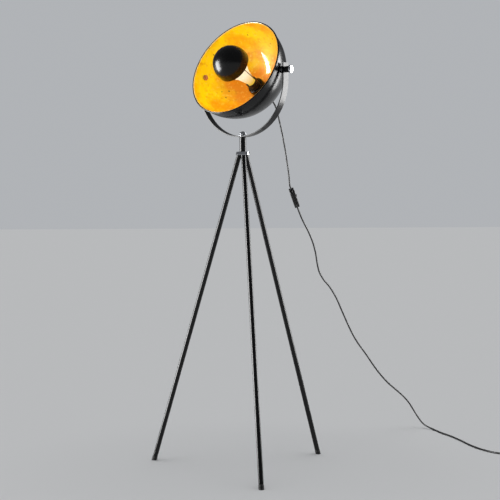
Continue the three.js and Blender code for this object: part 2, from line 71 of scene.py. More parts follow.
# the places that every piece is measured from, round the tilt centre out of the frame's joints
lamp = {
    "yokeBearing": math.radians(-47.5),  # tilt axis, seen from above
    "shadeTilt": math.radians(65),  # mouth turned from straight up
    "forkBearing": math.radians(-12),  # plane of the two wires, about the bowl's axis
}
tiltCentre = Vector(joints["shade_tilt"]["pos_m"])
postPlace = Matrix.Translation((tiltCentre.x, tiltCentre.y, 0))
headPlace = Matrix.Translation(tiltCentre) @ Matrix.Rotation(lamp["yokeBearing"], 4, "Z")
shadePlace = headPlace @ Matrix.Rotation(lamp["shadeTilt"], 4, "X")  # Z out of the bowl's mouth
forkPlace = shadePlace @ Matrix.Rotation(lamp["forkBearing"], 4, "Z")
pivotPlaces = {
    side: shadePlace @ Matrix.Rotation(turn, 4, "Z") @ Matrix.Rotation(math.pi / 2, 4, "Y")
    for side, turn in (("Right", 0), ("Left", math.pi))
}


# camera

camera = {
    "place": (-0.5358, -3.3732, 0.7467),
    "forward": (0.1591, 0.9869, -0.0262),
    "roll": math.radians(0.284),
    "lens": 83.6,
}


def addCamera():
    forward = Vector(camera["forward"])
    level = forward.to_track_quat("-Z", "Y").to_matrix().to_4x4()
    turn = Matrix.Rotation(camera["roll"], 4, forward)
    bpy.ops.object.camera_add()
    eye = bpy.context.object
    eye.matrix_world = Matrix.Translation(camera["place"]) @ turn @ level
    eye.data.lens = camera["lens"]
    eye.data.sensor_width = 36
    eye.data.clip_end = 100
    bpy.context.scene.camera = eye


addCamera()
print("camera placed")


# ways of working

def deselectAll():
    bpy.ops.object.select_all(action="DESELECT")


def editing(on):
    bpy.ops.object.mode_set(mode="EDIT" if on else "OBJECT")


def startVertex(name, point):
    # a primitive drawn together into one vertex, from which a line is extruded
    deselectAll()
    bpy.ops.mesh.primitive_plane_add(size=1)
    piece = bpy.context.object
    piece.name = name
    editing(True)
    bpy.ops.mesh.merge(type="CENTER")
    bpy.ops.transform.translate(value=Vector(point) * mm)
    return piece


def extrudeAlong(points):
    for here, there in zip(points, points[1:]):
        step = (Vector(there) - Vector(here)) * mm
        bpy.ops.mesh.extrude_region_move(TRANSFORM_OT_translate={"value": step})
    bpy.ops.mesh.select_all(action="SELECT")


def closeShell():
    bpy.ops.mesh.select_all(action="SELECT")
    bpy.ops.mesh.remove_doubles(threshold=0.01 * mm)
    bpy.ops.mesh.normals_make_consistent(inside=False)
    editing(False)


def turned(name, profile, steps=64):
    # profile holds radius and height in millimetres, and is spun round Z
    points = [(radius, 0, height) for radius, height in profile]
    piece = startVertex(name, points[0])
    extrudeAlong(points)
    bpy.ops.mesh.spin(steps=steps, angle=2 * math.pi, center=(0, 0, 0), axis=(0, 0, 1))
    closeShell()
    return piece


def drawn(name, outline, bottom, top):
    # outline holds x and y in millimetres, and is filled and raised
    points = [(x, y, bottom) for x, y in outline]
    piece = startVertex(name, points[0])
    extrudeAlong(points)
    bpy.ops.mesh.edge_face_add()
    bpy.ops.mesh.extrude_region_move(TRANSFORM_OT_translate={"value": (0, 0, (top - bottom) * mm)})
    closeShell()
    return piece


def makeActive(piece):
    deselectAll()
    piece.select_set(True)
    bpy.context.view_layer.objects.active = piece


def applied(piece, kind, **settings):
    makeActive(piece)
    modifier = piece.modifiers.new(kind.title(), kind)
    for key, value in settings.items():
        setattr(modifier, key, value)
    bpy.ops.object.modifier_apply(modifier=modifier.name)
    return piece


def eased(piece, width, segments=2, angle=35):
    # small rounds along the sharp edges, as tumbling or a mould leaves them
    limit = math.radians(angle)
    return applied(piece, "BEVEL", width=width * mm, segments=segments, angle_limit=limit)


def carved(piece, cutter, operation="DIFFERENCE"):
    applied(piece, "BOOLEAN", object=cutter, operation=operation, solver="EXACT")
    bpy.data.objects.remove(cutter)
    return piece


def cleaned(piece):
    # slivers left where a cut runs close beside an edge
    makeActive(piece)
    editing(True)
    bpy.ops.mesh.select_all(action="SELECT")
    bpy.ops.mesh.remove_doubles(threshold=0.01 * mm)
    bpy.ops.mesh.dissolve_degenerate(threshold=0.01 * mm)
    editing(False)
    return piece


def placed(piece, place):
    makeActive(piece)
    piece.matrix_world = place @ piece.matrix_world
    bpy.ops.object.transform_apply(location=True, rotation=True, scale=True)
    return piece


def smooth(piece, angle=35):
    makeActive(piece)
    bpy.ops.object.shade_smooth_by_angle(angle=math.radians(angle))
    return piece


def settle(piece, place, body, slot, material, *nodes):
    placed(piece, place)
    smooth(piece)
    piece.data.materials.clear()
    piece.data.materials.append(material)
    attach(piece, body)
    if nodes:
        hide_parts(*nodes)
    return piece


def arc(radius, centreHeight, fromDegrees, toDegrees, steps):
    points = []
    for i in range(steps + 1):
        angle = math.radians(fromDegrees + (toDegrees - fromDegrees) * i / steps)
        points.append((radius * math.cos(angle), centreHeight + radius * math.sin(angle)))
    return points


def roundRod(radius, bottom, top, chamfer=0):
    sides = [
        (radius - chamfer, bottom), (radius, bottom + chamfer), (radius, top - chamfer),
        (radius - chamfer, top),
    ]
    return [(0, bottom)] + sides + [(0, top)]


def roundRing(inner, outer, bottom, top, chamfer=0):
    outside = [
        (outer - chamfer, bottom), (outer, bottom + chamfer), (outer, top - chamfer),
        (outer - chamfer, top),
    ]
    return [(inner, bottom)] + outside + [(inner, top), (inner, bottom)]


def smoothRoute(points, perSpan=8):
    # centripetal curve through the points, the way a bent cord runs
    points = [Vector(point) for point in points]
    ends = [2 * points[0] - points[1]] + points + [2 * points[-1] - points[-2]]
    route = []
    for p0, p1, p2, p3 in zip(ends, ends[1:], ends[2:], ends[3:]):
        t1 = (p1 - p0).length ** 0.5
        t2 = t1 + (p2 - p1).length ** 0.5
        t3 = t2 + (p3 - p2).length ** 0.5
        for i in range(perSpan):
            t = t1 + (t2 - t1) * i / perSpan
            a1 = p0 + (p1 - p0) * (t / t1)
            a2 = p1 + (p2 - p1) * ((t - t1) / (t2 - t1))
            a3 = p2 + (p3 - p2) * ((t - t2) / (t3 - t2))
            b1 = a1 + (a2 - a1) * (t / t2)
            b2 = a2 + (a3 - a2) * ((t - t1) / (t3 - t1))
            route.append(b1 + (b2 - b1) * ((t - t1) / (t2 - t1)))
    return route + [points[-1]]


def swept(name, route, radius, roundness=3):
    # a round section carried along the route, with closed ends
    line = bpy.data.curves.new(name, "CURVE")
    line.dimensions = "3D"
    line.bevel_depth = radius
    line.bevel_resolution = roundness
    line.use_fill_caps = True
    spline = line.splines.new("POLY")
    spline.points.add(len(route) - 1)
    for knot, point in zip(spline.points, route):
        knot.co = (*point, 1)
    piece = bpy.data.objects.new(name, line)
    bpy.context.collection.objects.link(piece)
    makeActive(piece)
    bpy.ops.object.convert(target="MESH")
    piece = bpy.context.object
    editing(True)
    closeShell()
    return piece


# materials

def linear(hexColour):
    # an sRGB hex value as the linear colour that the shader works in
    channels = [int(hexColour[i : i + 2], 16) / 255 for i in (0, 2, 4)]
    return [c / 12.92 if c <= 0.04045 else ((c + 0.055) / 1.055) ** 2.4 for c in channels] + [1]


def addNode(material, kind, inputs=(), **settings):
    tree = material.node_tree
    node = tree.nodes.new("ShaderNode" + kind)
    for key, value in settings.items():
        setattr(node, key, value)
    for socket, value in dict(inputs).items():
        if isinstance(value, bpy.types.NodeSocket):
            tree.links.new(value, node.inputs[socket])
        else:
            node.inputs[socket].default_value = value
    return node


def startMaterial(name, shaderInputs):
    material = bpy.data.materials.new(name)
    material.use_nodes = True
    material.node_tree.nodes.clear()
    shader = addNode(material, "BsdfPrincipled", shaderInputs)
    output = addNode(material, "OutputMaterial")
    material.node_tree.links.new(shader.outputs[0], output.inputs["Surface"])
    place = addNode(material, "TexCoord").outputs["Object"]
    return material, shader, place


def grain(material, place, size, detail=2):
    # soft noise whose blotches are about this many millimetres across
    inputs = {"Vector": place, "Scale": 1 / (size * mm), "Detail": detail}
    return addNode(material, "TexNoise", inputs).outputs["Fac"]


def spread(material, value, low, high, fromLow=0.35, fromHigh=0.65):
    inputs = {0: value, 1: fromLow, 2: fromHigh, 3: low, 4: high}
    return addNode(material, "MapRange", inputs).outputs["Result"]


def feed(material, shader, socket, value):
    material.node_tree.links.new(value, shader.inputs[socket])


def tinted(material, shader, place, size, low, high):
    # one colour clouding into another
    tone = mixed(material, grain(material, place, size), linear(low), linear(high))
    feed(material, shader, "Base Color", tone)


def dulled(material, shader, place, size, low, high):
    # shine that varies between two roughnesses
    feed(material, shader, "Roughness", spread(material, grain(material, place, size), low, high))


def texture(material, shader, height, depth, strength=1):
    # relief this many millimetres deep
    inputs = {"Strength": strength, "Distance": depth * mm, "Height": height}
    feed(material, shader, "Normal", addNode(material, "Bump", inputs).outputs["Normal"])


def mixed(material, factor, low, high):
    inputs = {"Factor": factor, "A": low, "B": high}
    return addNode(material, "Mix", inputs, data_type="RGBA").outputs["Result"]


def powderCoat():
    # satin black polyester powder, baked on steel: soft gloss with a faint orange peel
    look = {"Base Color": linear("070708"), "Roughness": 0.25, "IOR": 1.4}
    material, shader, place = startMaterial("satinPowderCoat", look)
    dulled(material, shader, place, 30, 0.22, 0.28)
    texture(material, shader, grain(material, place, 5, 1), 0.002)  # peel drawn coarse enough to show
    return material


def chromePlate():
    # bright nickel and chromium over polished steel: a near mirror with faint polishing haze
    look = {"Base Color": linear("DADCE0"), "Metallic": 1, "Roughness": 0.07}
    material, shader, place = startMaterial("chromePlate", look)
    dulled(material, shader, place, 6, 0.05, 0.11)
    return material


def zincPlate():
    # blued zinc on drawn steel wire and bar: greyish, softly shining, slightly uneven
    look = {"Base Color": linear("A9ACB2"), "Metallic": 1, "Roughness": 0.3}
    material, shader, place = startMaterial("zincPlate", look)
    tinted(material, shader, place, 5, "8E9197", "BCBFC5")
    dulled(material, shader, place, 3, 0.24, 0.38)
    return material


def goldLeaf():
    # hand-laid metal leaf under gloss lacquer: yellow to amber cloud, crinkles and small breaks
    look = {
        "Base Color": linear("F8C414"), "Metallic": 0.15, "Roughness": 0.42,
        "Coat Weight": 1, "Coat Roughness": 0.04, "Coat IOR": 1.5,
    }
    material, shader, place = startMaterial("goldLeafLacquer", look)
    cloud = spread(material, grain(material, place, 75, 4), 0, 1, 0.38, 0.62)
    # the leaf is coloured more orange and darker towards the lower right
    downRight = Vector((0.85, 0, -0.53))
    reach = addNode(material, "VectorMath", {0: place, 1: downRight}, operation="DOT_PRODUCT")
    across = reach.outputs["Value"]
    middle = downRight.dot(tiltCentre)
    orangerLowerRight = spread(material, across, 0, 1, middle - 0.08, middle + 0.07)
    both = addNode(material, "Math", {0: cloud, 1: orangerLowerRight}, operation="ADD").outputs[0]
    tone = mixed(material, spread(material, both, 0, 1, 0.3, 1.5), linear("FFEA00"), linear("F09A0C"))
    crinkle = spread(material, grain(material, place, 9, 5), 0, 0.6, 0.55, 0.75)
    tone = mixed(material, crinkle, tone, linear("FFEB6E"))
    worn = spread(material, grain(material, place, 14, 4), 0, 0.5, 0.58, 0.72)
    tone = mixed(material, worn, tone, linear("D98A0C"))
    cells = {"Vector": place, "Scale": 1 / (30 * mm), "Randomness": 1}
    spots = addNode(material, "TexVoronoi", cells).outputs["Distance"]
    edge = grain(material, place, 4, 2)
    ragged = addNode(material, "Math", {0: spots, 1: edge}, operation="MULTIPLY").outputs[0]
    breaks = spread(material, ragged, 0.85, 0, 0.028, 0.05)
    tone = mixed(material, breaks, tone, linear("5A2E0C"))
    feed(material, shader, "Base Color", tone)
    texture(material, shader, grain(material, place, 7, 4), 0.06)
    return material


def rimLeafHighlight():
    # the leaf laid over the rolled edge, coloured paler and brighter than the lining: a painted highlight
    # along the rim
    look = {
        "Base Color": linear("FFE49A"), "Metallic": 0.1, "Roughness": 0.3,
        "Coat Weight": 1, "Coat Roughness": 0.05,
    }
    material, shader, place = startMaterial("rimLeafPaintedHighlight", look)
    tinted(material, shader, place, 14, "FFD766", "FFF0BE")
    return material


def copperPlate():
    # antique copper on the screw heads: brownish pink, softly shining
    look = {"Base Color": linear("A8664A"), "Metallic": 0.7, "Roughness": 0.3}
    material, shader, place = startMaterial("antiqueCopperPlate", look)
    tinted(material, shader, place, 3, "B87860", "E6BBA8")
    return material


def mouldedPlastic():
    # black ABS from a finely sparked mould: half matt with a fine even grain
    look = {"Base Color": linear("101012"), "Roughness": 0.36, "IOR": 1.53}
    material, shader, place = startMaterial("mouldedBlackAbs", look)
    dulled(material, shader, place, 4, 0.3, 0.44)
    texture(material, shader, grain(material, place, 0.8, 1), 0.02)
    return material


def bakelite():
    # pressed phenolic of the lamp holder: dark brown black, glossy
    look = {"Base Color": linear("0C0705"), "Roughness": 0.42, "IOR": 1.42}
    material, shader, place = startMaterial("pressedPhenolic", look)
    tinted(material, shader, place, 5, "060404", "0E0908")
    return material


def brassStrip():
    # plain pressed brass of the contacts and the bulb cap
    look = {"Base Color": linear("B8934E"), "Metallic": 1, "Roughness": 0.32}
    material, shader, place = startMaterial("pressedBrass", look)
    dulled(material, shader, place, 3, 0.25, 0.42)
    return material


def glazedCeramic():
    # glazed steatite insulator: warm off-white and smooth
    look = {"Base Color": linear("DAD6CC"), "Roughness": 0.2, "IOR": 1.5}
    material, shader, place = startMaterial("glazedSteatite", look)
    tinted(material, shader, place, 6, "D2CEC3", "E4E0D6")
    return material


def rubberFoot():
    # moulded black rubber: matt, slightly dusty
    look = {"Base Color": linear("121212"), "Roughness": 0.75, "IOR": 1.52}
    material, shader, place = startMaterial("mouldedRubber", look)
    tinted(material, shader, place, 4, "0E0E0E", "1B1B1A")
    texture(material, shader, grain(material, place, 1, 1), 0.03)
    return material


def cordSheath():
    # extruded black PVC sheath: smooth with a soft shine and a slight draw texture
    look = {"Base Color": linear("0D0D0E"), "Roughness": 0.34, "IOR": 1.53}
    material, shader, place = startMaterial("pvcSheath", look)
    dulled(material, shader, place, 9, 0.28, 0.42)
    return material


def litGlass():
    # clear bulb glass seen while lit: near white at the round end, pale straw down the neck
    look = {
        "Base Color": linear("8C7A48"), "Roughness": 0.06, "Transmission Weight": 0.3, "IOR": 1.5,
        "Emission Strength": 0.7,
    }
    material, shader, place = startMaterial("litLampGlass", look)
    forward = shadePlace.to_3x3() @ Vector((0, 0, 1))
    along = addNode(material, "VectorMath", {0: place, 1: forward}, operation="DOT_PRODUCT").outputs["Value"]
    start = forward.dot(tiltCentre)
    neck = spread(material, along, 0, 1, start - 44 * mm, start + 4 * mm)
    glow = mixed(material, neck, linear("E2BE44"), linear("FFFBE2"))
    feed(material, shader, "Emission Color", glow)
    return material


def filamentGlow():
    # coated filament sticks, lit
    look = {"Base Color": linear("FFE2A0"), "Emission Color": linear("FFE9B8"), "Emission Strength": 3}
    material, shader, place = startMaterial("litFilament", look)
    dulled(material, shader, place, 3, 0.4, 0.6)
    return material


looks = {
    "coat": powderCoat(), "chrome": chromePlate(), "zinc": zincPlate(), "leaf": goldLeaf(),
    "rimLeafHighlight": rimLeafHighlight(),
    "copper": copperPlate(), "plastic": mouldedPlastic(), "bakelite": bakelite(), "brass": brassStrip(),
    "ceramic": glazedCeramic(), "rubber": rubberFoot(), "sheath": cordSheath(), "glass": litGlass(),
    "filament": filamentGlow(),
}
print("materials mixed")


# cord, with its switch and plug

cord = {
    "radius": 2.75 * mm,
    "gripTip": 144.8,  # behind the tilt axis, along the bowl's axis
    "switchCentre": (0.189, 0.163, 0.815),  # from the post axis, as the routes are
    "switchRun": (0.369, 0.28, -0.885),
    "switchAway": (0.159, 0.987, 0),  # the switch's wide side lies this way
    "switchEnd": 33.3,
    "coilCentre": (0.8808, 0.0147, 0),
    "tailBearing": math.radians(-51),
    "coilStart": 33,  # radius of the first turn where the cord comes in
    "coilTight": 27.4,  # radius after one turn
    "coilTop": 30,  # radius of the upper turn
    "floorHeight": 2.9,
    "topHeight": 8.3,
    "plugHeight": 6.95,
    "tailEnd": 44,
}
upperMiddle = [
    (0.1105, 0.1015, 1.1115), (0.1195, 0.109, 1.0995), (0.1265, 0.1145, 1.081), (0.1325, 0.1192, 1.06),
    (0.1388, 0.124, 1.037), (0.1448, 0.1286, 1.014), (0.15, 0.1328, 0.99), (0.1553, 0.1368, 0.966),
    (0.162, 0.1422, 0.928), (0.1686, 0.1474, 0.89),
]
lowerMiddle = [
    (0.222, 0.1885, 0.7425), (0.2445, 0.206, 0.7055), (0.262, 0.22, 0.6695), (0.272, 0.2276, 0.637),
    (0.2775, 0.232, 0.607), (0.286, 0.2386, 0.577), (0.3025, 0.2516, 0.551), (0.328, 0.272, 0.525),
    (0.3545, 0.293, 0.4885), (0.385, 0.3164, 0.431), (0.42, 0.344, 0.367), (0.446, 0.364, 0.329),
    (0.483, 0.393, 0.285), (0.522, 0.424, 0.236), (0.551, 0.4465, 0.204), (0.5815, 0.47, 0.1745),
    (0.616, 0.4965, 0.147), (0.65, 0.519, 0.1195), (0.674, 0.53, 0.095), (0.693, 0.536, 0.068),
    (0.712, 0.5365, 0.038), (0.727, 0.523, 0.016), (0.738, 0.504, 0.008), (0.746, 0.483, 0.0046),
    (0.752, 0.455, 0.0029), (0.757, 0.405, 0.0029), (0.7685, 0.342, 0.0029), (0.775, 0.265, 0.0029),
    (0.7795, 0.17, 0.0029), (0.792, 0.1025, 0.0029), (0.8095, 0.057, 0.0029), (0.829, 0.0305, 0.0029),
]


def fromPost(point):
    return postPlace @ Vector(point)


def behindGrip(distance):
    return shadePlace @ Vector((0, 0, -(cord["gripTip"] + distance) * mm))


switchRun = Vector(cord["switchRun"]).normalized()
switchAway = Vector(cord["switchAway"])
switchAcross = (switchAway - switchAway.dot(switchRun) * switchRun).normalized()
switchFace = switchRun.cross(switchAcross)
switchCentre = fromPost(cord["switchCentre"])
switchTurn = Matrix((switchRun, switchAcross, switchFace)).transposed().to_4x4()
switchPlace = Matrix.Translation(switchCentre) @ switchTurn
tailRun = Vector((math.cos(cord["tailBearing"]), math.sin(cord["tailBearing"]), 0))
tailSide = Vector((tailRun.y, -tailRun.x, 0))


def alongSwitch(distance):
    return switchCentre + switchRun * distance * mm


def besideCoil(radius, distance, height):
    centre = fromPost(cord["coilCentre"])
    return centre + (tailSide * radius + tailRun * distance + Vector((0, 0, height))) * mm


def coilTurns():
    # in along the floor for one turn, up beside it, and once more round on top
    points = []
    for degrees in range(0, 721, 12):
        angle = math.radians(degrees)
        lift = min(max((degrees - 360) / 60, 0), 1)
        widen = min(max((degrees - 420) / 60, 0), 1)
        inward = min(degrees / 360, 1)
        radius = cord["coilStart"] + (cord["coilTight"] - cord["coilStart"]) * inward
        radius += (cord["coilTop"] - cord["coilTight"]) * widen
        height = cord["floorHeight"] + (cord["topHeight"] - cord["floorHeight"]) * lift
        points.append(besideCoil(radius * math.cos(angle), radius * math.sin(angle), height))
    return points


def addUpperCord():
    end = cord["switchEnd"]
    points = [behindGrip(0), behindGrip(7.7)] + [fromPost(point) for point in upperMiddle]
    points += [alongSwitch(-end - 12), alongSwitch(-end)]
    route = smoothRoute(points)
    piece = swept("cordUpper", route, cord["radius"])
    finishCord(piece, "cord_upper")
    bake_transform(piece)
    return piece, route


def addLowerCord():
    end = cord["switchEnd"]
    points = [alongSwitch(end), alongSwitch(end + 14)] + [fromPost(point) for point in lowerMiddle]
    points += [besideCoil(cord["coilStart"], -20.8, cord["floorHeight"])]
    points += coilTurns()
    points += [besideCoil(cord["coilTop"], 24.6, cord["topHeight"])]
    points += [besideCoil(cord["coilTop"], cord["tailEnd"] - 7, cord["plugHeight"] + 0.1)]
    points += [besideCoil(cord["coilTop"], cord["tailEnd"], cord["plugHeight"])]
    route = smoothRoute(points, 4)
    piece = swept("cordLower", route, cord["radius"])
    finishCord(piece, "cord_lower", "cord_coil", "cord_tail")
    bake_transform(piece)
    return piece, route


def finishCord(piece, *nodes):
    smooth(piece, 60)
    piece.data.materials.append(looks["sheath"])
    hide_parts(*nodes)


def routeLength(route):
    return sum((there - here).length for here, there in zip(route, route[1:]))


upperCord, upperRoute = addUpperCord()
lowerCord, lowerRoute = addLowerCord()
print("cords laid:", round(routeLength(upperRoute), 4), round(routeLength(lowerRoute), 4))


# tripod

tripod = {
    "footCircle": 301.5,  # post axis to the middle of a foot
    "apex": 978.5,  # height where the three leg axes meet
    "legRadius": 7.5,
    "legWall": 1.2,
    "studRadius": 4,
    "tubeStart": 14,
    "footRadius": 8.1,
    "hubBottom": 940,
    "hubTop": 950,
    "hubLowRadius": 21.5,
    "hubHighRadius": 19.5,
    "socketDepth": 3,
    "postRadius": 10,
    "postWall": 1.5,
    "postTop": 991.5,
    "rodRadius": 4.9,
    "rodTop": 1010.6,
}
legLean = math.atan2(tripod["footCircle"], tripod["apex"])
legEnd = (tripod["hubBottom"] + tripod["socketDepth"]) / math.cos(legLean)


def legPlace(number):
    turn = Matrix.Rotation(math.radians(120 * number), 4, "Z")
    lean = Matrix.Rotation(-legLean, 4, "X")
    return postPlace @ turn @ Matrix.Translation((0, -tripod["footCircle"] * mm, 0)) @ lean


def addLeg(number, side):
    radius, start = tripod["legRadius"], tripod["tubeStart"]
    inner, stud = radius - tripod["legWall"], tripod["studRadius"]
    profile = [
        (0, legEnd - 14), (inner, legEnd - 14), (inner, start), (radius - 0.4, start),
        (radius, start + 0.4),
    ]
    profile += [(radius, 80 * step) for step in range(1, 12)]  # rings that keep the long tube's shading even
    profile += [(radius, legEnd - 1), (radius - 0.8, legEnd), (stud, legEnd)]
    profile += [(stud, legEnd + 4), (stud - 0.6, legEnd + 4.8), (0, legEnd + 4.8)]
    tube = turned("leg" + side, profile, 48)
    settle(tube, legPlace(number), "tripod", "satin_black_paint", looks["coat"], "leg_" + side.lower())


def addFoot(number, side):
    radius, start = tripod["footRadius"], tripod["tubeStart"]
    inner = tripod["legRadius"] - tripod["legWall"]
    profile = [
        (0, -6), (radius - 0.6, -6), (radius, -5), (radius, 2.5), (radius - 0.35, 3),
        (radius - 0.35, 3.6),
    ]
    profile += [(radius, 4.1), (radius, start - 1.5), (radius - 0.8, start - 0.3), (inner - 0.3, start - 0.3)]
    profile += [(inner - 0.7, start + 12), (0, start + 12)]
    foot = placed(turned("foot" + side, profile, 48), legPlace(number))
    bpy.ops.mesh.primitive_cube_add(size=1, location=(0, 0, -0.5), scale=(2, 2, 1))
    carved(foot, bpy.context.object)
    settle(eased(foot, 0.25), Matrix(), "tripod", "black_rubber", looks["rubber"], "foot_" + side.lower())


def addHub():
    low, high = tripod["hubLowRadius"], tripod["hubHighRadius"]
    bottom, top = tripod["hubBottom"], tripod["hubTop"]
    profile = [
        (0, bottom), (low - 1, bottom), (low - 0.3, bottom + 0.3), (low, bottom + 1),
        (high + 0.3, top - 1.6),
    ]
    profile += [(high - 0.1, top - 0.6), (high - 0.9, top - 0.1), (high - 1.8, top), (0, top)]
    hub = turned("hubTurning", profile, 96)
    carved(hub, turned("bore", roundRod(tripod["rodRadius"] + 0.3, bottom + 5.5, top + 1), 32))
    fromPostToFloor = postPlace.inverted()
    for number in range(3):
        socket = roundRod(tripod["legRadius"] + 0.4, legEnd - 12, legEnd + 0.3)
        stud = roundRod(tripod["studRadius"] + 0.3, legEnd - 1, legEnd + 5.5)
        for tool in (socket, stud):
            carved(hub, placed(turned("bore", tool, 40), fromPostToFloor @ legPlace(number)))
    settle(eased(hub, 0.25), postPlace, "tripod", "chrome_plate", looks["chrome"], "hub")


def threaded(radius, bottom, top, pitch=1.5, depth=0.45):
    # the crests and roots of a screw thread, as rings
    points = []
    for turnNumber in range(int((top - bottom) / pitch)):
        height = bottom + turnNumber * pitch
        points += [(radius, height), (radius, height + 0.2 * pitch), (radius - depth, height + 0.55 * pitch)]
    return points + [(radius, top - 0.6)]


def addPost():
    outer, inner = tripod["postRadius"], tripod["postRadius"] - tripod["postWall"]
    tube = turned("postTube", roundRing(inner, outer, tripod["hubTop"] + 0.3, tripod["postTop"], 0.4), 64)
    settle(tube, postPlace, "tripod", "satin_black_paint", looks["coat"], "post_tube")
    radius, top = tripod["rodRadius"], tripod["rodTop"]
    profile = [
        (0, tripod["hubBottom"] + 5.8), (radius, tripod["hubBottom"] + 6.4),
        (radius, tripod["postTop"]),
    ]
    profile += threaded(radius, tripod["postTop"] + 1, top) + [(radius - 1, top), (0, top)]
    settle(turned("centreRod", profile, 40), postPlace, "tripod", "zinc_steel", looks["rodEnd"], "centre_rod")


# the clamp on top of the post

clamp = {
    "swivelBottom": 991.8,
    "swivelTop": 993.4,
    "washerBottom": 997,
    "washerTop": 998.6,
    "washerRadius": 10.8,
    "nutBottom": 998.9,
    "nutTop": 1008.4,
    "nutFlats": 17,
    "bore": 5.2,
}


def hexNut(name, flats, bore, bottom, top):
    corner = flats / math.sqrt(3)
    bpy.ops.mesh.primitive_cylinder_add(vertices=6, radius=corner * mm, depth=(top - bottom) * mm)
    nut = placed(bpy.context.object, Matrix.Translation((0, 0, (top + bottom) / 2 * mm)))
    nut.name = name
    edge = flats / 2 * 0.97
    fall = (corner - edge) * math.tan(math.radians(30))
    cone = [
        (0, bottom - 0.01), (edge, bottom - 0.01), (corner + 0.1, bottom + fall),
        (corner + 0.1, top - fall),
    ]
    carved(nut, turned("chamfer", cone + [(edge, top + 0.01), (0, top + 0.01)], 72), "INTERSECT")
    mouth = 0.5
    drill = [(0, bottom - 1), (bore + mouth + 1, bottom - 1), (bore, bottom + mouth), (bore, top - mouth)]
    carved(nut, turned("bore", drill + [(bore + mouth + 1, top + 1), (0, top + 1)], 40))
    return nut


def addClamp():
    bore = clamp["bore"]
    low, high = clamp["swivelBottom"], clamp["swivelTop"]
    swivel = turned("swivelWasher", roundRing(bore, tripod["postRadius"], low, high, 0.2))
    settle(swivel, postPlace, "tripod", "black_plastic", looks["plastic"], "swivel_washer")
    washer = roundRing(bore, clamp["washerRadius"], clamp["washerBottom"], clamp["washerTop"], 0.35)
    settle(
        turned("clampWasher", washer), postPlace, "tripod", "chrome_plate", looks["chrome"],
        "clamp_washer",
    )
    nut = hexNut("clampNut", clamp["nutFlats"], bore, clamp["nutBottom"], clamp["nutTop"])
    settle(eased(nut, 0.25), postPlace, "tripod", "chrome_plate", looks["chrome"], "clamp_nut")


# yoke

yoke = {
    "armX": 160.5,  # tilt centre to the middle of an arm
    "thickness": 3,
    "width": 24,
    "armAbove": 20,
    "arcDrop": 27.3,
    "pivotHole": 3.4,
    "rodHole": 5.4,
    "washerSeat": 11.3,
}


def addYoke():
    # a strip's section, drawn down one arm, bent round half a turn and up the other arm
    arm, drop = yoke["armX"] * mm, yoke["arcDrop"] * mm
    deselectAll()
    bpy.ops.mesh.primitive_plane_add(size=1, location=(arm, 0, yoke["armAbove"] * mm))
    strip = bpy.context.object
    strip.name = "yokeStrip"
    strip.scale = (yoke["thickness"] * mm, yoke["width"] * mm, 1)
    bpy.ops.object.transform_apply(location=True, rotation=True, scale=True)
    editing(True)
    armLength = yoke["armAbove"] * mm + drop
    bpy.ops.mesh.extrude_region_move(TRANSFORM_OT_translate={"value": (0, 0, -armLength)})
    bpy.ops.mesh.spin(steps=72, angle=math.pi, center=(0, 0, -drop), axis=(0, -1, 0))
    bpy.ops.mesh.extrude_region_move(TRANSFORM_OT_translate={"value": (0, 0, armLength)})
    closeShell()
    outer = yoke["armX"] + yoke["thickness"] / 2
    inner = outer - yoke["thickness"]
    pivots = roundRod(yoke["pivotHole"], -outer - 5, outer + 5)
    carved(strip, placed(turned("bore", pivots, 40), Matrix.Rotation(math.pi / 2, 4, "Y")))
    rodHole = roundRod(yoke["rodHole"], -outer - yoke["arcDrop"] - 5, -inner - yoke["arcDrop"] + 10)
    carved(strip, turned("bore", rodHole, 40))
    seat = roundRod(yoke["washerSeat"], -inner - yoke["arcDrop"], 5 - inner - yoke["arcDrop"])
    carved(strip, turned("seat", seat, 64))
    cleaned(eased(strip, 0.4, 2, 40))
    settle(strip, headPlace, "yoke", "satin_black_paint", looks["coat"], "yoke_strip")


# bowl

bowl = {
    "radius": 153,
    "wall": 0.9,  # the steel under the leaf
    "leaf": 0.3,  # leaf with its size and lacquer
    "rim": 39,  # mouth in front of the tilt axis
    "bead": 2.4,
    "hole": 5.3,
    "pivotHole": 3.3,
}


def quarter(radius, steps=48):
    start = -math.degrees(math.acos(bowl["hole"] / radius))
    return arc(radius, bowl["rim"], start, 0, steps)


def boredForPivots(shell):
    reach = bowl["radius"] + 5
    drill = turned("bore", roundRod(bowl["pivotHole"], -reach, reach), 32)
    return carved(shell, placed(drill, Matrix.Rotation(math.pi / 2, 4, "Y")))


def addBowl():
    outer, bead = bowl["radius"], bowl["bead"]
    inner = outer - bowl["wall"]
    steelFace = inner - bowl["leaf"]
    centre = steelFace + bead  # middle of the rolled edge
    roll = [
        (centre + bead * math.cos(math.radians(a)), bowl["rim"] + bead * math.sin(math.radians(a)))
        for a in range(165, -121, -15)
    ]
    profile = quarter(inner) + roll + quarter(outer)[:-1][::-1]
    shell = boredForPivots(turned("bowlSpinning", profile + profile[:1], 160))
    settle(shell, shadePlace, "shade", "satin_black_paint", looks["coat"], "bowl_shell")
    inside = quarter(steelFace)[:-1]
    profile = inside + [(steelFace, bowl["rim"] - 0.5)] + quarter(inner - 0.02)[:-1][::-1]
    lining = boredForPivots(turned("leafLining", profile + profile[:1], 160))
    settle(lining, shadePlace, "shade", "gold_leaf_lining", looks["leaf"])
    # the leaf turns up over the inner part of the rolled edge
    over, under = bead + 0.4, bead + 0.05
    lap = [(over, a) for a in range(190, 129, -10)] + [(under, a) for a in range(130, 191, 10)]
    profile = [
        (centre + r * math.cos(math.radians(a)), bowl["rim"] + r * math.sin(math.radians(a)))
        for r, a in lap
    ]
    # the paler colour of this edge is a painted highlight along the rim
    edge = turned("rimLeafHighlight", profile + profile[:1], 160)
    settle(edge, shadePlace, "shade", "gold_leaf_lining", looks["rimLeafHighlight"])


# pivots: the same pieces on both sides, made along Z from the tilt centre

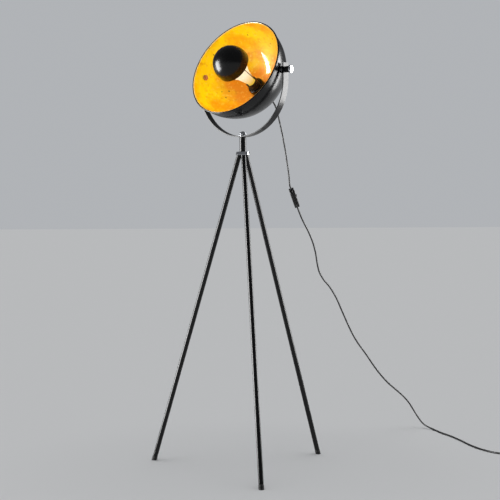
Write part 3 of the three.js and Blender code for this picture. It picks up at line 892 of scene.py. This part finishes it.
pivot = {
    "boltRadius": 2.9,
    "headBottom": 138.4,
    "headTop": 142.1,
    "washerFace": 142.4,
    "innerWasher": 8.5,
    "padFace": 151,
    "padRadius": 10,
    "washerRadius": 11,
    "spacerRadius": 9,
    "armFace": 159,
    "knobStart": 162.3,
    "knobEnd": 176,
    "knobRadius": 9,
    "flutes": 24,
    "capRadius": 11.5,
}


def pivotBolt():
    radius, low, high = pivot["boltRadius"], pivot["headBottom"], pivot["headTop"]
    head = [(0, low), (2.2, low + 0.05), (4, low + 0.5), (5.3, low + 1.3), (6, low + 2.3), (6, high)]
    end = pivot["knobEnd"] - 3
    shank = [(radius, high), (radius, end - 0.6), (radius - 0.6, end), (0, end)]
    bolt = turned("pivotBolt", head + shank, 48)
    for turn in (0, math.pi / 2):
        deselectAll()
        bpy.ops.mesh.primitive_cube_add(size=1, location=(0, 0, low * mm), rotation=(0, 0, turn))
        bpy.context.object.scale = (6.4 * mm, 1.1 * mm, 3 * mm)
        carved(bolt, bpy.context.object)
    return bolt


def bowlWithin(radius):
    # the ball that fills the bowl out to this radius, seen along the pivot
    deselectAll()
    bpy.ops.mesh.primitive_uv_sphere_add(segments=192, ring_count=96, radius=radius * mm)
    return placed(bpy.context.object, Matrix.Translation((-bowl["rim"] * mm, 0, 0)))


def innerWasher():
    profile = roundRing(pivot["boltRadius"] + 0.3, pivot["innerWasher"], pivot["washerFace"], 153)
    washer = turned("innerWasher", profile)
    return carved(washer, bowlWithin(bowl["radius"] - bowl["wall"] - bowl["leaf"] - 0.3), "INTERSECT")


def wallPad():
    profile = roundRing(pivot["boltRadius"] + 0.3, pivot["padRadius"], 140, pivot["padFace"])
    return carved(turned("wallPad", profile), bowlWithin(bowl["radius"] + 0.3))


def flutedKnob():
    start, end, radius = pivot["knobStart"], pivot["knobEnd"], pivot["knobRadius"]
    bore = pivot["boltRadius"] + 0.3
    profile = [
        (bore, start), (radius - 0.9, start), (radius, start + 1), (radius, start + 2),
        (radius, end - 2),
    ]
    profile += [
        (radius, end - 0.9), (radius - 0.8, end), (4, end), (4, end - 2.6), (bore, end - 2.6),
        (bore, start),
    ]
    steps = pivot["flutes"] * 4
    knob = turned("knob", profile, steps)
    for vertex in knob.data.vertices:
        x, y, z = vertex.co
        turn = round(math.atan2(y, x) / (2 * math.pi) * steps)
        onSide = math.hypot(x, y) > (radius - 0.1) * mm and start + 1.5 < z / mm < end - 1.5
        vertex.select = onSide and turn % 4 == 0
    knob.data.polygons.foreach_set("select", [False] * len(knob.data.polygons))
    knob.data.edges.foreach_set("select", [False] * len(knob.data.edges))
    editing(True)
    bpy.ops.transform.resize(value=(0.93, 0.93, 1), center_override=(0, 0, 0))
    editing(False)
    return knob


def knobCap():
    end, radius = pivot["knobEnd"], pivot["capRadius"]
    back = end + 0.3
    profile = [
        (0, end - 1.5), (3.7, end - 1.5), (3.7, back), (radius - 1.4, back),
        (radius - 0.4, back + 0.4),
    ]
    profile += [
        (radius, back + 1.4), (radius, back + 3.4), (radius - 0.5, back + 4.6),
        (radius - 1.6, back + 5.2),
    ]
    profile += [(radius - 3, back + 5.35), (radius * 0.5, back + 5.7), (0, back + 5.8)]
    return turned("knobCap", profile, 96)


def addPivots():
    bore = pivot["boltRadius"] + 0.3
    outside = [
        (
            "washer", pivot["washerRadius"], pivot["padFace"] + 0.3, pivot["padFace"] + 1.5,
            "chrome", "chrome_plate",
        ),
        (
            "spacer", pivot["spacerRadius"], pivot["padFace"] + 1.8, pivot["armFace"] - 0.3,
            "plastic", "black_plastic",
        ),
    ]
    for side, place in pivotPlaces.items():
        knobBody = side.lower() + "_knob"
        pieces = [
            (pivotBolt(), "pivot_bolt", "shade", "copper_toned_screw", "copper"),
            (innerWasher(), "inner_washer", "shade", "copper_toned_screw", "copper"),
            (wallPad(), "wall_pad", "shade", "black_plastic", "plastic"),
            (flutedKnob(), "knob", knobBody, "black_plastic", "plastic"),
            (knobCap(), "knob_cap", knobBody, "chrome_plate", "chrome"),
        ]
        for node, radius, bottom, top, look, slot in outside:
            ringPiece = turned(node, roundRing(bore, radius, bottom, top, 0.3))
            pieces.append((ringPiece, node, "shade", slot, look))
        for piece, node, body, slot, look in pieces:
            piece.name = piece.name.split(".")[0] + side
            settle(piece, place, body, slot, looks[look], node + "_" + side.lower())


# lamp holder and bulb

holder = {
    "bore": 15.1,
    "radius": 18,
    "front": -45,
    "back": -111.2,
    "cupRadius": 26,
    "cupFront": -67,
    "cupBack": -110.1,
    "ringRadius": 21,
    "ringBack": -63.8,
    "ringFront": -60,
    "hole": 5.3,
}


def addHolder():
    radius, bore, front, back = holder["radius"], holder["bore"], holder["front"], holder["back"]
    profile = [
        (holder["hole"], back), (radius - 1.2, back), (radius, back + 1.2),
        (radius, holder["ringBack"] - 3),
    ]
    for groove in range(4):  # the turned thread that the ring screws on to
        height = holder["ringFront"] + 1.5 + groove * 3
        profile += [
            (radius, height), (radius - 0.7, height + 0.8), (radius - 0.7, height + 1.6),
            (radius, height + 2.4),
        ]
    profile += [
        (radius, front - 1.4), (radius - 0.8, front), (bore, front), (bore, back + 4),
        (holder["hole"], back + 4),
    ]
    body = turned("holderBody", profile + profile[:1], 72)
    settle(body, shadePlace, "shade", "black_plastic", looks["bakelite"], "holder_body")

    outer, cupFront, cupBack = holder["cupRadius"], holder["cupFront"], holder["cupBack"]
    lip = radius + 0.4
    crown = [
        (lip, cupFront), (outer - 4, cupFront), (outer - 2, cupFront - 0.4),
        (outer - 0.6, cupFront - 1.6),
    ]
    crown += [(outer, cupFront - 3.6), (outer, cupBack)]
    under = [
        (outer - 1.2, cupBack), (outer - 1.2, cupFront - 3.8), (outer - 2.6, cupFront - 1.6),
        (lip, cupFront - 1.4),
    ]
    cup = turned("holderCup", crown + under + crown[:1], 96)
    settle(cup, shadePlace, "shade", "satin_black_paint", looks["coat"], "holder_cup")

    low, high, grip = holder["ringBack"], holder["ringFront"], holder["ringRadius"]
    ringPiece = turned("holderRing", roundRing(radius + 0.3, grip, low, high, 0.5), 120)
    for vertex in ringPiece.data.vertices:
        turn = round(math.atan2(vertex.co.y, vertex.co.x) / (2 * math.pi) * 120)
        vertex.select = math.hypot(vertex.co.x, vertex.co.y) > (grip - 0.2) * mm and turn % 3 == 0
    editing(True)
    bpy.ops.transform.resize(value=(0.965, 0.965, 1), center_override=(0, 0, 0))
    editing(False)
    settle(ringPiece, shadePlace, "shade", "black_plastic", looks["bakelite"], "holder_ring")


bulb = {
    "endCentre": 25,  # middle of the round end
    "radius": 30.5,
    "wall": 0.9,
    "neck": [
        (12.4, -60), (12.4, -50), (12.6, -44), (13.2, -39), (14.2, -35), (15.6, -28), (17.4, -20),
        (20.8, -5),
    ],
    "capRim": -47.6,
    "stemTip": -14,
    "stickLength": 48,
}


def bulbProfile(inset):
    # neck and round end in one line, moved inwards for the inner face
    ball = arc(bulb["radius"] - inset, bulb["endCentre"], -40, 90, 28)
    ball[-1] = (0, bulb["endCentre"] + bulb["radius"] - inset)
    return [(radius - inset, height) for radius, height in bulb["neck"]] + ball


def addBulb():
    outside, inside = bulbProfile(0), bulbProfile(bulb["wall"])
    glass = turned("bulbGlass", outside + inside[::-1] + outside[:1], 72)
    settle(glass, shadePlace, "shade", "bulb_glass", looks["glass"], "bulb_glass")
    glass.visible_shadow = False  # lets the light inside it out

    tip = bulb["stemTip"]
    stem = [
        (0, -58), (10.5, -58), (10, -55), (6, -49), (3.4, -44), (2.9, -34), (2.8, tip - 1),
        (2, tip), (0, tip),
    ]
    mount = turned("bulbMount", stem, 32)
    settle(mount, shadePlace, "shade", "bulb_glass", looks["glass"], "bulb_mount")
    mount.visible_shadow = False
    for number in range(4):
        stick = turned("filament" + str(number + 1), roundRod(0.9, 0, bulb["stickLength"], 0.3), 16)
        lean = Matrix.Translation((2 * mm, 0, (tip - 1.5) * mm)) @ Matrix.Rotation(0.16, 4, "Y")
        turn = Matrix.Rotation(number * math.pi / 2, 4, "Z")
        settle(stick, shadePlace @ turn @ lean, "shade", "bulb_glass", looks["filament"])
        stick.visible_shadow = False

    outer, inner = [(9.6, -80.2)], [(9, -79.6)]
    for step in range(0, 31):  # the rolled screw thread, drawn as rings
        height = -77.2 + step
        ripple = 0.22 * math.cos(2 * math.pi * step / 7)
        if height <= bulb["capRim"]:
            outer.append((13.1 + ripple, height))
            inner.append((12.7 + ripple, height))
    profile = [(9, -80.2)] + outer + inner[::-1]
    cap = turned("bulbCap", profile + profile[:1], 72)
    settle(cap, shadePlace, "shade", "brass_contact", looks["brass"], "bulb_cap")


# small dome in front of the bulb, on its wire fork

dome = {
    "radius": 54,
    "wall": 1.2,
    "centre": 60,
    "rim": 47,
    "barLength": 104,
    "barWidth": 9,
    "barBottom": 60.6,
    "barTop": 62.2,
    "wireRadius": 1.2,
    "wireSpread": 33,
    "wireEnd": 66.5,
    "eyeRadius": 19.8,
    "eyeHeight": -65.4,
    "nutFlats": 5.5,
}


def addDome():
    outer, inner = dome["radius"], dome["radius"] - dome["wall"]
    top = arc(outer, dome["centre"], 0, 90, 32)
    under = arc(inner, dome["centre"], 0, 90, 32)
    top[-1] = (0, dome["centre"] + outer)
    under[-1] = (0, dome["centre"] + inner)
    rim = dome["rim"]
    edge = [(inner, rim + 0.4), (inner + 0.35, rim), (outer - 0.35, rim), (outer, rim + 0.4)]
    shell = turned("reflectorDome", edge + top + under[::-1] + edge[:1], 144)
    settle(shell, shadePlace, "shade", "satin_black_paint", looks["coat"], "reflector_dome")

    length, width = dome["barLength"], dome["barWidth"]
    bpy.ops.mesh.primitive_cube_add(size=1)
    bar = bpy.context.object
    bar.name = "domeBar"
    bar.scale = (length * mm, width * mm, (dome["barTop"] - dome["barBottom"]) * mm)
    bar.location.z = (dome["barTop"] + dome["barBottom"]) / 2 * mm
    placed(bar, Matrix())
    hole = dome["wireRadius"] + 0.35
    for side in (-1, 1):
        drill = turned("bore", roundRod(hole, dome["barBottom"] - 5, dome["barTop"] + 5), 24)
        carved(bar, placed(drill, Matrix.Translation((side * dome["wireSpread"] * mm, 0, 0))))
    settle(eased(bar, 0.3), forkPlace, "shade", "zinc_steel", looks["zinc"], "dome_bar")
    for name, node, side in (("forkNutRight", "fork_nut_right", 1), ("forkNutLeft", "fork_nut_left", -1)):
        nut = hexNut(name, dome["nutFlats"], hole, dome["barTop"] + 0.3, dome["barTop"] + 2.7)
        spot = Matrix.Translation((side * dome["wireSpread"] * mm, 0, 0))
        settle(nut, forkPlace @ spot, "shade", "zinc_steel", looks["zinc"], node)


def addFork():
    spread, low = dome["wireSpread"], dome["eyeHeight"]
    pieces = []
    for side in (-1, 1):
        bends = [
            (18.9, low), (27, low), (31.2, low + 1.3), (spread, low + 5), (spread, low + 12),
            (spread, 0),
        ]
        bends += [(spread, dome["wireEnd"] - 10), (spread, dome["wireEnd"])]
        route = smoothRoute([(side * x * mm, 0, z * mm) for x, z in bends])
        pieces.append(swept("forkLeg", route, dome["wireRadius"] * mm, 4))
    deselectAll()
    size = {"major_radius": dome["eyeRadius"] * mm, "minor_radius": dome["wireRadius"] * mm}
    bpy.ops.mesh.primitive_torus_add(location=(0, 0, low * mm), major_segments=96, minor_segments=12, **size)
    eye = bpy.context.object
    eye.name = "wireFork"
    for leg in pieces:
        carved(eye, leg, "UNION")
    settle(eye, forkPlace, "shade", "zinc_steel", looks["wire"], "wire_fork")


# cord grip and washer at the back of the bowl

grip = {"back": -144.5, "front": -115.9, "radius": 10.5, "bore": 3.05, "ribs": 6}


def addGrip():
    front, back, radius = grip["front"], grip["back"], grip["radius"]
    profile = [
        (5.2, front), (radius - 0.6, front), (radius, front - 0.6), (radius, -121.4),
        (radius - 0.8, -122.2),
    ]
    for rib in range(grip["ribs"]):  # shallow rings that let the tapered sleeve bend
        share = rib / grip["ribs"]
        height = -124 + (back + 124) * share
        wide = 8.6 + (4.4 - 8.6) * share
        profile += [
            (wide, height), (wide - 0.2, height - 1.6), (wide - 1.3, height - 2),
            (wide - 1.4, height - 2.8),
        ]
    profile += [
        (4.4, back + 0.5), (4, back), (grip["bore"], back), (grip["bore"], -121.5), (5.2, -120.2),
        (5.2, front),
    ]
    settle(
        turned("cordGrip", profile, 64), shadePlace, "shade", "black_plastic", looks["plastic"],
        "cord_grip",
    )
    washer = turned("backWasher", roundRing(holder["hole"], 13, -115.6, -114.3, 0.3), 64)
    settle(washer, shadePlace, "shade", "satin_black_paint", looks["coat"], "back_washer")


# in-line switch

switch = {
    "length": 66,
    "width": 25,
    "half": 8,  # from the split to a face
    "cordEnd": 4.5,  # half the width where the cord goes in
    "rockerPivot": 5,
    "rockerTurn": math.radians(7),
}


def switchOutline():
    x, y, end = switch["length"] / 2, switch["width"] / 2, switch["cordEnd"]
    corner = [
        (x, end), (x - 5, end), (x - 7.2, end + 3.3), (x - 9.6, y - 2.4), (x - 12.4, y - 0.6),
        (x - 16, y),
    ]
    left = [(-a, b) for a, b in corner[::-1]]
    top = corner + left
    return top + [(a, -b) for a, b in top[::-1]]


def switchHalf(name, bottom, top):
    half = eased(drawn(name, switchOutline(), bottom, top), 1.6, 4, 60)
    channel = turned("bore", roundRod(3.05, -switch["length"], switch["length"]), 32)
    carved(half, placed(channel, Matrix.Rotation(math.pi / 2, 4, "Y")))
    middle = (bottom + top) / 2
    inward = -1 if middle > 0 else 1
    deselectAll()
    bpy.ops.mesh.primitive_cube_add(size=1, location=(0, 0, 0.15 * -inward * mm))
    bpy.context.object.scale = (34 * mm, 19 * mm, 12 * mm)
    return carved(half, bpy.context.object)


def gripRibs(half, face):
    # raised bars across both ends of the housing
    ribs = []
    for end in (-1, 1):
        for number in range(4):
            deselectAll()
            spot = (end * (14 + number * 2.4) * mm, 0, face * mm)
            bpy.ops.mesh.primitive_cube_add(size=1, location=spot)
            ribs.append(bpy.context.object)
            ribs[-1].scale = (1.1 * mm, (17 - number * 1.2) * mm, 0.8 * mm)
            eased(placed(ribs[-1], Matrix()), 0.25)
    for rib in ribs:
        carved(half, rib, "UNION")
    return half


def addSwitch():
    half = switch["half"]
    top = gripRibs(switchHalf("switchTop", 0.15, half), half - 0.1)
    deselectAll()
    bpy.ops.mesh.primitive_cube_add(size=1, location=(0, 0, 10 * mm))
    bpy.context.object.scale = (18 * mm, 12 * mm, 20 * mm)
    carved(top, bpy.context.object)
    settle(top, switchPlace, "yoke", "black_plastic", looks["plastic"], "switch_top")
    bottom = switchHalf("switchBottom", -half, -0.15)
    settle(bottom, switchPlace, "yoke", "black_plastic", looks["plastic"], "switch_bottom")

    seesaw = [
        (-8.4, 1.2), (8.4, 1.2), (8.2, 4.6), (5.2, 3.9), (2.6, 3.6), (0, 3.5), (-2.6, 3.6),
        (-5.2, 3.9), (-8.2, 4.6),
    ]
    rocker = placed(drawn("switchRocker", seesaw, -5.6, 5.6), Matrix.Rotation(math.pi / 2, 4, "X"))
    eased(rocker, 0.4, 3)
    deselectAll()
    bpy.ops.mesh.primitive_cube_add(size=1, location=(0, 0, -0.6 * mm))
    bpy.context.object.scale = (5 * mm, 9 * mm, 4 * mm)
    carved(rocker, bpy.context.object, "UNION")
    pivotHeight = Matrix.Translation((0, 0, switch["rockerPivot"] * mm))
    tipped = pivotHeight @ Matrix.Rotation(switch["rockerTurn"], 4, "Y")
    settle(rocker, switchPlace @ tipped, "rocker", "black_plastic", looks["plastic"], "switch_rocker")


# plug

plug = {
    "reliefLength": 22,
    "length": 35,
    "thickness": 13.7,
    "pinLength": 19,
    "pinSpacing": 18.4,
}


def addPlug():
    place = Matrix.Translation(besideCoil(cord["coilTop"], cord["tailEnd"] + 0.3, cord["plugHeight"]))
    place = place @ Matrix.Rotation(cord["tailBearing"], 4, "Z")
    along = Matrix.Rotation(math.pi / 2, 4, "Y")
    length = plug["reliefLength"]
    profile = [(0, 0), (3.2, 0), (3.4, 0.3)]
    for rib in range(5):
        start = 2 + rib * 3.8
        wide = 3.4 + 1.5 * start / length
        profile += [(wide, start), (wide - 0.9, start + 0.5), (wide - 0.9, start + 1.5), (wide, start + 2)]
    profile += [(5, length), (0, length)]
    settle(
        turned("plugRelief", profile, 40), place @ along, "tripod", "black_rubber", looks["rubber"],
        "plug_relief",
    )

    start = length + 0.3
    end = start + plug["length"]
    side = [
        (start, 6), (start + 4, 7.4), (start + 8, 9.8), (start + 12, 13), (end - 3, 14.5),
        (end - 0.8, 13.7), (end, 11.5),
    ]
    outline = side + [(x, -y) for x, y in side[::-1]]
    half = plug["thickness"] / 2
    body = eased(drawn("plugBody", outline, -half, half), 2, 5, 50)
    for y in (-1, 1):  # finger grips pressed into both faces
        for number in range(4):
            deselectAll()
            spot = ((start + 15 + number * 3) * mm, 0, y * half * mm)
            bpy.ops.mesh.primitive_cube_add(size=1, location=spot)
            bpy.context.object.scale = (1.2 * mm, 14 * mm, 0.9 * mm)
            carved(body, bpy.context.object)
    settle(body, place, "tripod", "black_plastic", looks["plastic"], "plug_body")

    pinStart = end + 0.3
    pinEnd = pinStart + plug["pinLength"]
    tip = [(2, pinEnd - 1.6), (1.7, pinEnd - 0.7), (1, pinEnd - 0.1), (0, pinEnd)]
    sleeve = [(0, pinStart), (2, pinStart), (2, pinStart + 9), (1.8, pinStart + 9.3), (2, pinStart + 9.6)]
    for name, node, side in (("plugPinRight", "plug_pin_right", -1), ("plugPinLeft", "plug_pin_left", 1)):
        spot = Matrix.Translation((0, side * plug["pinSpacing"] / 2 * mm, 0))
        pin = turned(name, sleeve + tip, 32)
        settle(pin, place @ spot @ along, "tripod", "brass_contact", looks["brass"], node)


def rodEndSteel():
    # blackened steel of the long rod: dark oxide, oily sheen
    look = {"Base Color": linear("0E0D0D"), "Metallic": 0.4, "Roughness": 0.4}
    material, shader, place = startMaterial("blackenedSteel", look)
    dulled(material, shader, place, 3, 0.26, 0.44)
    return material


looks["rodEnd"] = rodEndSteel()
looks["wire"] = looks["rodEnd"]

for number, side in enumerate(("Front", "Right", "Left")):
    addLeg(number, side)
    addFoot(number, side)
addHub()
addPost()
addClamp()
print("tripod made")
addYoke()
addBowl()
addPivots()
print("bowl hung in its yoke")
addHolder()
addBulb()
addDome()
addFork()
addGrip()
print("lamp holder, bulb and dome made")
addSwitch()
addPlug()
print("switch and plug made")


# the hidden inner parts keep their own solids, with their real finishes

inside = {
    "contact_block": "ceramic",
    "contact_shell": "brass",
    "centre_contact": "brass",
    "nipple": "zinc",
    "nipple_nut": "zinc",
    "bulb_base": "ceramic",
    "cord_inner": "sheath",
    "switch_contact": "brass",
}
for node, look in inside.items():
    part = frame["nodes"][node]
    part.data.materials.clear()
    part.data.materials.append(looks[look])


# floor and light

studio = {
    "sky": "C9CCD0",
    "skyStrength": 0.75,  # behind the lamp, as the camera sees it
    "roomStrength": 0.22,  # what the lamp's surfaces are lit by and reflect
    "overhead": {"strength": 1.8, "spread": math.radians(60)},
    "leftBox": {"place": (-2.1, 0.5, 0.82), "width": 1.2, "height": 1.6, "watts": 125},
    "rightBox": {"place": (2.1, 0.4, 1.15), "width": 1, "height": 1.8, "watts": 75},
    "bulbWatts": 0.45,
    "bulbRadius": 20,
    "boxAim": (0, 0.07, 1.3),
}


def softbox(name, place, target, width, height, watts):
    deselectAll()
    bpy.ops.object.light_add(type="AREA", location=place)
    box = bpy.context.object
    box.name = name
    box.data.shape = "RECTANGLE"
    box.data.size = width
    box.data.size_y = height
    box.data.energy = watts
    box.visible_diffuse = False  # seen as a shine on the lamp, without a bright pool on the floor
    toTarget = Vector(target) - Vector(place)
    box.rotation_euler = toTarget.to_track_quat("-Z", "Y").to_euler()


def addStudio():
    sky = bpy.data.worlds.new("studioSky")
    bpy.context.scene.world = sky
    sky.use_nodes = True
    background = sky.node_tree.nodes["Background"]
    background.inputs["Color"].default_value = linear(studio["sky"])
    seen = addNode(sky, "LightPath").outputs["Is Camera Ray"]
    strength = spread(sky, seen, studio["roomStrength"], studio["skyStrength"], 0, 1)
    sky.node_tree.links.new(strength, background.inputs["Strength"])
    for name in ("leftBox", "rightBox"):
        box = studio[name]
        softbox(name, box["place"], studio["boxAim"], box["width"], box["height"], box["watts"])
    deselectAll()
    bpy.ops.object.light_add(type="SUN", location=(0, 0, 3))
    overhead = bpy.context.object
    overhead.name = "overhead"
    overhead.data.energy = studio["overhead"]["strength"]
    overhead.data.angle = studio["overhead"]["spread"]
    overhead.visible_glossy = False  # evens the floor without shining on the black paint
    # the lit bulb
    deselectAll()
    heart = shadePlace @ Vector((0, 0, bulb["endCentre"] * mm))
    bpy.ops.object.light_add(type="POINT", location=heart)
    glow = bpy.context.object
    glow.name = "bulbGlow"
    glow.data.energy = studio["bulbWatts"]
    glow.data.color = linear("FFF0CC")[:3]
    glow.data.shadow_soft_size = studio["bulbRadius"] * mm
    glow.visible_camera = False
    glow.visible_glossy = False
    glow.parent = frame["bodies"]["shade"]


def addFloor():
    deselectAll()
    bpy.ops.mesh.primitive_plane_add(size=200)
    floor = bpy.context.object
    floor.name = "floor"
    look = {"Base Color": linear("D8D9DA"), "Roughness": 0.9, "Specular IOR Level": 0}
    material, shader, place = startMaterial("paleFloor", look)
    dulled(material, shader, place, 400, 0.85, 0.95)
    floor.data.materials.append(material)


addFloor()
addStudio()
bpy.context.scene.view_settings.view_transform = "Standard"
print("floor and lights set")
